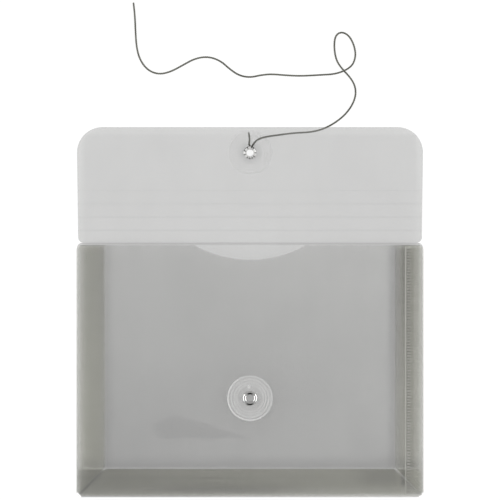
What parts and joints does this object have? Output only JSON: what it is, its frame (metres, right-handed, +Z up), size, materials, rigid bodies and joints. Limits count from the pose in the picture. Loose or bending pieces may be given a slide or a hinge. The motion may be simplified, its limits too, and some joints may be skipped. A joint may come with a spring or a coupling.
{
  "type": "string tie envelope",
  "caption": "Flat translucent plastic document envelope with a gusseted pocket, a scored wrap-over flap and a string that winds round button discs to close it.",
  "frame": {"origin": "underside of the back panel, at the panel's centre", "axes": "+X to the right, +Y from the pocket towards the open flap, +Z up, out of the pocket's front"},
  "size_m": [0.1906, 0.2718, 0.0137],
  "materials": {
    "sheet": "satin",
    "disc": "satin",
    "eyelet": "polished",
    "string": "twisted"
  },
  "bodies": {
    "back": {"back_panel": "sheet"},
    "flap_strip_1": {"flap_strip_1": "sheet"},
    "flap_strip_2": {"flap_strip_2": "sheet"},
    "flap_strip_3": {"flap_strip_3": "sheet"},
    "flap_strip_4": {"flap_strip_4": "sheet"},
    "flap": {"flap_panel": "sheet", "flap_eyelet": "eyelet", "string_loop": "string", "string": "string"},
    "flap_disc": {"flap_button_disc": "disc"},
    "bottom_back": {"bottom_gusset_back": "sheet"},
    "bottom_front": {"bottom_gusset_front": "sheet"},
    "front": {"front_panel": "sheet", "side_weld_tab": "sheet", "body_eyelet": "eyelet"},
    "body_disc": {"body_button_disc": "disc"},
    "left_back": {"left_gusset_back": "sheet"},
    "left_front": {"left_gusset_front": "sheet"},
    "right_back": {"right_gusset_back": "sheet"},
    "right_front": {"right_gusset_front": "sheet"}
  },
  "joints": [
    {"name": "flap_close", "type": "hinge", "parent": "back", "child": "flap_strip_1", "pos_m": [0, 0.06985, 0.0005], "axis": [1, 0, 0], "range_deg": [0, 35]},
    {"name": "flap_score_1", "type": "hinge", "parent": "flap_strip_1", "child": "flap_strip_2", "pos_m": [0, 0.07664, 0.0009], "axis": [1, 0, 0], "range_deg": [0, 35]},
    {"name": "flap_score_2", "type": "hinge", "parent": "flap_strip_2", "child": "flap_strip_3", "pos_m": [0, 0.08393, 0.00133], "axis": [1, 0, 0], "range_deg": [0, 35]},
    {"name": "flap_score_3", "type": "hinge", "parent": "flap_strip_3", "child": "flap_strip_4", "pos_m": [0, 0.09121, 0.00175], "axis": [1, 0, 0], "range_deg": [0, 35]},
    {"name": "flap_score_4", "type": "hinge", "parent": "flap_strip_4", "child": "flap", "pos_m": [0, 0.0985, 0.00218], "axis": [1, 0, 0], "range_deg": [0, 35]},
    {"name": "flap_button_spin", "type": "hinge", "parent": "flap", "child": "flap_disc", "pos_m": [0, 0.11927, 0.0034], "axis": [0, -0.0585, 0.9983], "continuous": true},
    {"name": "pocket_expand", "type": "hinge", "parent": "back", "child": "bottom_back", "pos_m": [0, -0.069, 0.00105], "axis": [1, 0, 0], "range_deg": [-14.5, 20.5], "stiffness_Nm_per_rad": 0.15, "springref_deg": 1.72},
    {"name": "bottom_ridge", "type": "hinge", "parent": "bottom_back", "child": "bottom_front", "pos_m": [0, -0.05448, 0.00557], "axis": [1, 0, 0], "range_deg": [-41, 29]},
    {"name": "front_crease", "type": "hinge", "parent": "bottom_front", "child": "front", "pos_m": [0, -0.069, 0.0101], "axis": [1, 0, 0], "range_deg": [-14.5, 20.5]},
    {"name": "left_crease", "type": "hinge", "parent": "back", "child": "left_back", "pos_m": [-0.0944, 0, 0.00105], "axis": [0, -1, 0], "range_deg": [-14.5, 20.5]},
    {"name": "left_ridge", "type": "hinge", "parent": "left_back", "child": "left_front", "pos_m": [-0.07988, 0, 0.00557], "axis": [0, -1, 0], "range_deg": [-41, 29]},
    {"name": "right_crease", "type": "hinge", "parent": "back", "child": "right_back", "pos_m": [0.0944, 0, 0.00105], "axis": [0, 1, 0], "range_deg": [-14.5, 20.5]},
    {"name": "right_ridge", "type": "hinge", "parent": "right_back", "child": "right_front", "pos_m": [0.07988, 0, 0.00557], "axis": [0, 1, 0], "range_deg": [-41, 29]},
    {"name": "body_button_spin", "type": "hinge", "parent": "front", "child": "body_disc", "pos_m": [0, -0.01545, 0.01065], "axis": [0, 0, 1], "continuous": true}
  ],
  "couplings": [
    {"joint": "flap_score_1", "follows": "flap_close", "ratio": 1},
    {"joint": "flap_score_2", "follows": "flap_close", "ratio": 1},
    {"joint": "flap_score_3", "follows": "flap_close", "ratio": 1},
    {"joint": "flap_score_4", "follows": "flap_close", "ratio": 1},
    {"joint": "bottom_ridge", "follows": "pocket_expand", "ratio": -2},
    {"joint": "front_crease", "follows": "pocket_expand", "ratio": 1},
    {"joint": "left_crease", "follows": "pocket_expand", "ratio": 1},
    {"joint": "left_ridge", "follows": "pocket_expand", "ratio": -2},
    {"joint": "right_crease", "follows": "pocket_expand", "ratio": 1},
    {"joint": "right_ridge", "follows": "pocket_expand", "ratio": -2}
  ]
}
